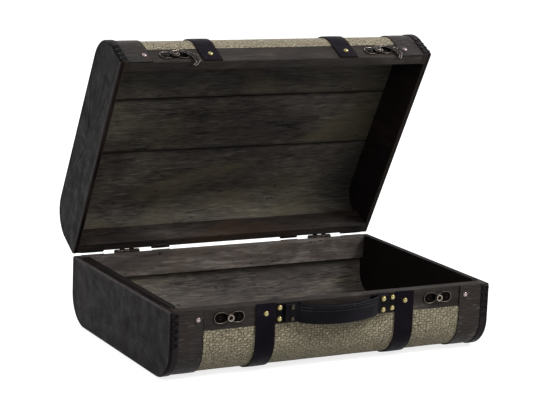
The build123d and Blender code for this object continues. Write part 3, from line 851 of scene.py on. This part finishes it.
chance = np.random.default_rng(5)
for half, height in HEIGHT.items():
    loops = []
    for sign, face, k in product((-1, 1), (-1, 1), range(6)):
        z = height - LACE_DROP - k * LACE_PITCH + chance.uniform(-0.4, 0.4)
        if z < CORNER - 1 or (face > 0 and k == 0):
            continue
        lean = chance.uniform(-0.15, 0.15)
        loops.append(loop_of_lace(sign * LACE_X, z, 1.0 - 0.05 * k, lean, face))
    piece(f"{half}_lacing", half, loops, lace_leather)

# %% [markdown]
# ## Studs
# Domed nails hold the bands, the straps and the handle: pale nickel on the bands, brass on the
# straps. A stud is a profile spun about its own axis: brim, bead, crown. All the studs of one
# kind in a half are one mesh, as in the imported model.

# %% Studs
BAND_STUD_X = 184.5


def spun(profile, x, z, seat_y, face=-1, sides=28):
    """A profile of (radius, height) spun about an axis that stands out of the front or back.
    The UV map repeats the radius and the height."""
    turn, profile = around(sides), np.array(profile, float)[:, None, :]
    radius, rise = profile[..., 0], profile[..., 1]
    points = grid(x + radius * np.cos(turn), face * (seat_y + rise), z + radius * np.sin(turn))
    return surface(points, np.tile(profile, (1, sides + 1, 1)), "point")


def stud(x, z, above, face=-1):
    """A dome: a thin brim, then a crown that is a quarter of a flattened ball."""
    t = np.linspace(0, 0.96, 7) * np.pi / 2
    crown = grid(3.25 * np.cos(t), 0.5 + 2.0 * np.sin(t))
    return spun([(3.6, 0), (3.6, 0.3), (3.45, 0.5), *crown], x, z, FACE + above, face, 20)


def studs(x, heights, above, faces=(-1,)):
    """The same stud at both sides of the case, at each of some heights and on each face."""
    return [stud(sign * x, z, above, face)
            for sign in SIDES.values() for z in heights for face in faces]


for half, height in HEIGHT.items():
    at_bands = studs(BAND_STUD_X, [height - STUD_DROP], 1.5, (-1, 1))
    at_straps = studs(STRAP_X, [height - STUD_DROP], 2.1, (-1, 1))
    piece(f"{half}_brass_studs_bands", half, at_bands, stud_pale,
          replaces=f"{half}_band_studs")
    piece(f"{half}_brass_studs_straps", half, at_straps, stud_brass,
          replaces=f"{half}_strap_studs")

# %% [markdown]
# ## Latch plates, posts and rivets
# A plate is stamped: a bar with round ends, drawn in to a smooth waist at its middle, with a
# raised rim that wear has rubbed bright. The rim is a profile carried round the plate's outline.
# The post's head is a dished button, and the rivet under each hook a low one, both spun.

# %% Latch plates with raised rims
PLATE_REACH, PLATE_ROUND, PLATE_WAIST = 20.0, 7.0, 8.6
PLATE_RIM = [(0, 0), (0, 1.3), (-0.2, 1.65), (-0.55, 1.8), (-0.95, 1.6), (-1.15, 1.2), (-1.6, 1.2)]
POST = [(3.8, 1.2), (3.8, 1.7), (2.5, 1.7), (2.5, 4.5), (4.2, 4.5), (4.4, 4.8), (4.4, 5.9),
        (4.1, 6.4), (3.5, 6.5), (2.8, 6.4), (2.4, 6.0), (2.3, 5.4), (0.4, 5.4)]
RIVET = [(3.8, 1.2), (3.8, 2.4), (1.8, 2.4), (1.8, 4.2), (3.2, 4.2), (3.4, 4.4), (3.3, 4.9),
         (2.6, 5.3), (1.2, 5.4), (0.2, 5.4)]


def stamped_plate(x, z):
    """The plate's body up to 1.2, inside a rounded rim 0.6 higher. A ring of the rim is moved
    outwards by grow: at each place along the plate its half height is that of the round end,
    less a smooth waist at the middle. The UV map holds the distance in from the edge."""
    grow, rise = np.array(PLATE_RIM).T[:, :, None]
    turn = around(120)
    px, wave = (PLATE_REACH + grow) * np.cos(turn), np.sin(turn)
    beyond = np.clip(np.abs(px) - (PLATE_REACH - PLATE_ROUND), 0, None)
    lobe = np.sqrt(np.clip((PLATE_ROUND + grow) ** 2 - beyond**2, 0, None))
    waist = (PLATE_ROUND - PLATE_WAIST / 2) * np.exp(-((px / 5.5) ** 4))
    pz = (lobe - waist) * np.sign(wave) * (np.abs(wave) > 1e-9)
    return surface(grid(x + px, -(FACE + rise), z + pz), grid(-grow, np.zeros(121)))


turned_parts = (("base", "keeper", "post", POST), ("lid", "latch", "rivet", RIVET))
for half, word, name, profile in turned_parts:
    z = HEIGHT[half] - LATCH_DROP
    for side, sign in SIDES.items():
        x = sign * LATCH_X
        piece(f"{half}_stamped_plate_{side}", half, [stamped_plate(x, z)], plate_bronze,
              replaces=f"{word}_plate_{side}")
        piece(f"{half}_turned_{name}_{side}", half, [spun(profile, x, z, FACE)], post_bronze,
              replaces=f"{word}_{name}_{side}")

# %% [markdown]
# ## Bright edges on the swing hooks
# The hooks are cast dark, and use has rubbed their edges bright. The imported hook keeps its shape
# and its hole; a low bead is laid along its outline. The outline is worked out as the hook's is,
# from its eye, arm, jaw, tip and thumb knob, and then turned to the angle at which it hangs.

# %% A bead round each hook
HOOK_ANGLE = {"left": 45.0, "right": 57.0}
EYE, NECK_GAP, REACH, JAW_IN, JAW_OUT, TIP_ANGLE = 6.0, 2.9, 25.4, 28.3, 32.0, -100.51
SHOULDER, KNOB, HOOK_TOP = (15.6, -21.8), 2.6, 4.1
BEAD = np.array([(0.02, 0.0), (0.1, 0.14), (0.35, 0.26), (0.6, 0.24), (0.85, 0.0), (0.45, -0.1)])


def arc(centre, radius, start, stop, count):
    """Points on a circle from one angle to another, in degrees."""
    a = np.radians(np.linspace(start, stop, count))
    return grid(centre[0] + radius * np.cos(a), centre[1] + radius * np.sin(a))


def arc_through(a, b, c, count):
    """Points on the circle through three points, from the first to the last by the shorter way.
    The centre is as far from the first as from the others, which makes two linear equations."""
    apart = 2 * (np.array([b, c]) - a)
    centre = np.linalg.solve(apart, np.square([b, c]).sum(1) - np.square(a).sum())
    start, stop = (math.atan2(*(np.array(end) - centre)[::-1]) for end in (a, c))
    turn = (stop - start + math.pi) % (2 * math.pi) - math.pi
    start, stop = math.degrees(start), math.degrees(start + turn)
    return arc(centre, math.dist(a, centre), start, stop, count)


def hook_outline():
    """The hook hanging straight down from its eye, counter-clockwise, in even steps."""
    tip = arc((0, 0), (JAW_IN + JAW_OUT) / 2, TIP_ANGLE, TIP_ANGLE, 1)[0]
    line = np.vstack([
        arc((0, 0), EYE, 75, 350, 40),
        arc_through((5.79, -1.02), (10.0, -11.43), (NECK_GAP, -REACH), 24)[1:],
        arc((0, -REACH), NECK_GAP, 0, -90, 8)[1:],
        arc((0, 0), JAW_IN, -90, TIP_ANGLE, 6)[1:],
        arc(tip, (JAW_OUT - JAW_IN) / 2, TIP_ANGLE + 180, TIP_ANGLE + 360, 10)[1:],
        arc((0, 0), JAW_OUT, TIP_ANGLE, -71.79, 12)[1:],
        arc(SHOULDER, KNOB, -131, 97, 16),
        arc_through((15.25, -19.2), (13.5, -5.08), (1.52, 5.68), 24)[1:-1],
    ])
    closed = np.vstack([line, line[:1]])
    at = np.cumsum([0, *np.hypot(*np.diff(closed, axis=0).T)])
    even = np.linspace(0, at[-1], 220, endpoint=False)
    return grid(*(np.interp(even, at, closed[:, k]) for k in (0, 1)))


def hook_bead(x, z, angle):
    """A half-round bead just inside the outline: its section leans on the outline's normal."""
    line = hook_outline()
    ahead = np.roll(line, -1, 0) - np.roll(line, 1, 0)
    inward = grid(-ahead[:, 1], ahead[:, 0]) / np.hypot(*ahead.T)[:, None]
    flat = line[:, None, :] + inward[:, None, :] * BEAD[None, :, :1]
    px, pz = turned(flat[..., 0], flat[..., 1], math.radians(angle))
    return surface(grid(x + px, -(FACE + HOOK_TOP + BEAD[:, 1]), z - pz), ends="ring")


for side, sign in SIDES.items():
    bead = hook_bead(sign * LATCH_X, HEIGHT["lid"] - LATCH_DROP, HOOK_ANGLE[side])
    made = piece(f"hook_bright_edge_{side}", "lid", [bead], edge_bronze,
                 body=f"hook_{side}", crease=60)
    corners = np.array([v.co for v in made.data.vertices])
    print("bead", corners.min(0).round(4), corners.max(0).round(4))

# %% [markdown]
# ## The handle
# The handle is a padded leather strap: flat where it is nailed, then it bows out and grows
# thicker, and it sags a little in the middle. Its section is a rounded rectangle whose height,
# thickness and distance from the case all follow one share, which rises from 0 at the nailed
# ends to 1 in the middle. Two rows of stitches run along its upper part. Of the brass nails that
# hold it, the two inner ones at the left are darker as painted shade beside the grip.

# %% Grip, stitches, patches and studs
END_X, RISE_X, HANDLE_Z, GRIP_ROUND = 72.0, 56.0, 73.4, 56.0
PATCH_X, PATCH_WIDE, PATCH_HIGH = 65.4, 17.4, 11.85
OUTER_STUD_X, INNER_STUD_X, STUD_UP = 77.8, 62.9, 6.8


def grip_place(x):
    """Height, thickness, inner face and middle height of the grip at x. They follow the share by
    which it has risen: the sine of the way in from the nailed end, to the power 0.55."""
    share = np.sin(np.clip(1 - np.abs(x) / RISE_X, 0, 1) * np.pi / 2) ** 0.55
    return 22 + 2 * share, 4 + 4 * share, 2 + 9 * share, HANDLE_Z - 4 * share


def grip_surface():
    """Rounded rectangle sections from end to end, pinched over the last millimetre."""
    ends = END_X - np.array([0, 0.3, 1.0])
    x = np.concatenate([-ends, np.linspace(-70, 70, 71), ends[::-1]])[:, None]
    height, thick, inner, middle = grip_place(x)
    pinch = 0.6 * (1 - np.clip((END_X - np.abs(x)) / 1.2, 0, 1) ** 0.5)
    turn = around(40)
    out = squarer(np.cos(turn), 0.55) * (thick / 2 - pinch)
    up = squarer(np.sin(turn), 0.35) * (height / 2 - pinch)
    points = grid(x, -(FACE + inner + thick / 2 + out), middle + up)
    return surface(points, grid(x, np.linspace(0, GRIP_ROUND, 41)))


def stitches(below):
    """A row of short capsules that follows the grip's outer face at a distance below its edge."""
    t, turn, made = np.linspace(-1, 1, 7)[:, None], around(6), []
    radius = 0.42 * np.sqrt(np.clip(1 - t**4, 0.02, 1))
    for place in np.arange(-59, 59, 3.3):
        x = place + 1.15 * t
        height, thick, inner, middle = grip_place(x)
        y = -(FACE + inner + thick * 0.985 + radius * np.cos(turn))
        made.append(surface(grid(x, y, middle + height / 2 - below + radius * np.sin(turn))))
    return made


def patch_surface(x):
    """A flat leather patch with soft edges: rounded oblongs that shrink as they rise."""
    rings = [(0, 0), (0, 1.4), (0.25, 1.8), (0.7, 2.0), (6.0, 2.0)]
    inset, rise = np.array(rings).T[:, :, None]
    px = (PATCH_WIDE - inset) * squarer(np.cos(around(72)), 0.16)
    pz = (PATCH_HIGH - inset) * squarer(np.sin(around(72)), 0.16)
    return surface(grid(x + px, -(FACE + rise), HANDLE_Z + pz))


grip = piece("grip_leather", "base", [grip_surface()], grip_finish, crease=60,
             replaces="handle_grip")
thread = smooth_leather("waxed_thread", "17161b", "28272d", "4a484f", 1800, (0.4, 0.6), 0.2, 0.1)
piece("grip_stitches", "base", stitches(3.2) + stitches(7.0), thread)
for side, sign in SIDES.items():
    patch = patch_surface(sign * PATCH_X)
    piece(f"patch_leather_{side}", "base", [patch], handle_leather,
          replaces=f"handle_patch_{side}")
heights = (HANDLE_Z - STUD_UP, HANDLE_Z + STUD_UP)
nails = studs(OUTER_STUD_X, heights, 2.0) + studs(INNER_STUD_X, heights, 6.0)
made = piece("grip_studs", "base", nails, stud_brass, replaces="handle_studs")
# The two inner studs at the left take the darker brass: painted shade beside the grip.
made.data.materials.append(shaded_stud)
faces = len(made.data.polygons)
third_quarter = np.arange(faces) * 4 // faces == 2
made.data.polygons.foreach_set("material_index", third_quarter.astype(np.int32))

# %% [markdown]
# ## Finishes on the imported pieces
# The rails, end boards, linings, hooks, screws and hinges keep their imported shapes, which are
# right, and only get a finish. Each is looked up by the first of these words that its name
# holds, and a name without any of them is an error.

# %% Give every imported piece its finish
by_word = {
    "base_rail_back": lit_rail_wood, "lid_rail_back": shaded_rail_wood, "rail": rail_wood,
    "end_board": end_wood, "end_liner": end_wood, "hinge": hinge_bronze, "hook": latch_bronze,
    "screws": latch_bronze, "plate": plate_bronze, "post": post_bronze, "rivet": post_bronze,
    "board": plank_wood["base"], "cap": cap_leather["base"], "studs": stud_brass,
    "band": band_leather, "strap": black_strap, "woven": matting["base"],
    "handle": handle_leather,
}
for name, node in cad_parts.items():
    finish = next(value for word, value in by_word.items() if word in name)
    node.data.materials.clear()
    node.data.materials.append(finish)
print(len(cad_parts), "packed pieces have a finish")

# %% [markdown]
# ## Floor and light
# The case stands on a pale floor in a bright room. A little soft light comes from everywhere. A
# strong lamp above, in front and to the right shapes the forms, and weaker ones stand at the
# left, behind and at the right. The background is white for the camera and for reflections, and
# the floor glows for them, but the light that both give to the case stays at a plain level.

# %% Floor and light
WORLD_LIGHT, FLOOR_GLOW, FLOOR_REACH, FLOOR_Z = 0.42, 0.8, 30, -0.0002
LAMP_AIM = Vector((0, 0, 0.15))


def seen_directly(graph):
    """1 for camera, glossy and transmission rays, 0 for the rays that carry light to surfaces."""
    camera, glossy, through = (graph.add("ShaderNodeLightPath", {}, f"Is {kind} Ray")
                               for kind in ("Camera", "Glossy", "Transmission"))
    return camera.step("MAXIMUM", glossy).step("MAXIMUM", through)


def lamp(name, place, size, watts):
    """A square soft lamp at a place, aimed at the case."""
    light = bpy.data.lights.new(name, "AREA")
    light.shape, light.size, light.energy = "SQUARE", size, watts
    made = place_object(name, light)
    made.location = place
    made.rotation_euler = (LAMP_AIM - Vector(place)).to_track_quat("-Z", "Y").to_euler()


f = Finish("pale_floor", roughness=0.9, specular=0.05)
floor_finish = f.finish(f.colours(f.cloud(f.where(), 3.0), ((0.3, "b6b6b6"), (0.7, "b9b9b9"))))
glow = f.add("ShaderNodeEmission", {"Strength": seen_directly(f) * FLOOR_GLOW})
both = f.add("ShaderNodeAddShader", {0: Wire(f, f.shader.outputs[0]), 1: glow})
f.plug(both, f.tree.nodes["Material Output"].inputs["Surface"])
floor_mesh = bpy.data.meshes.new("floor")
corners = [(x * FLOOR_REACH, y * FLOOR_REACH, FLOOR_Z)
           for x, y in ((-1, -1), (1, -1), (1, 1), (-1, 1))]
floor_mesh.from_pydata(corners, [], [(0, 1, 2, 3)])
floor_mesh.materials.append(floor_finish)
floor = place_object("floor", floor_mesh)

world = bpy.data.worlds.new("bright_room")
bpy.context.scene.world = world
world.use_nodes = True
sky, background = Graph(world.node_tree), world.node_tree.nodes["Background"].inputs
sky.plug((1, 1, 1, 1), background["Color"])
sky.plug(seen_directly(sky).between(0, 1, WORLD_LIGHT, 1.0), background["Strength"])

lamp("key", (1.7, -1.65, 2.5), 1.2, 80)
lamp("fill", (-2.0, -1.6, 1.4), 1.6, 8)
lamp("back", (-0.4, 2.8, 1.7), 1.6, 40)
lamp("right", (2.6, 0.9, 1.3), 1.4, 22)

# %% [markdown]
# ## Camera
# The camera stands where the photographer did. Its place was worked out from the case's
# corners in the picture: 28 degrees to the left of straight ahead, 11 degrees up, 2.3 m away,
# tipped a little, with a long lens.

# %% Camera
SENSOR_WIDTH, FOCAL_PIXELS, PICTURE_PIXELS, DISTANCE = 36.0, 1836.4, 550, 2315.9
az, el, roll = np.radians([-28.224, 11.403, 2.275])
away = np.array([math.sin(az) * math.cos(el), -math.cos(az) * math.cos(el), math.sin(el)])
level = np.cross(-away, [0, 0, 1])
level /= np.linalg.norm(level)
upright = np.cross(level, -away)
right = math.cos(roll) * level + math.sin(roll) * upright
up = math.cos(roll) * upright - math.sin(roll) * level
eye = (np.array([-8.75, SHIFT_Y, 169.06]) + DISTANCE * away) / 1000
camera_data = bpy.data.cameras.new("camera")
camera_data.sensor_width = SENSOR_WIDTH
camera_data.lens = FOCAL_PIXELS * SENSOR_WIDTH / PICTURE_PIXELS
camera = place_object("camera", camera_data)
camera.matrix_world = Matrix([*grid(right, up, away, eye).tolist(), [0, 0, 0, 1]])
bpy.context.scene.camera = camera
bpy.context.scene.view_settings.view_transform = "Standard"
print("camera at", eye.round(3))

# %% [markdown]
# ## Bring the scene up to date
# The dressed case has to stay inside the imported model's box, apart from what leather may stand
# proud.

# %% Bring the scene up to date
bpy.context.view_layer.update()
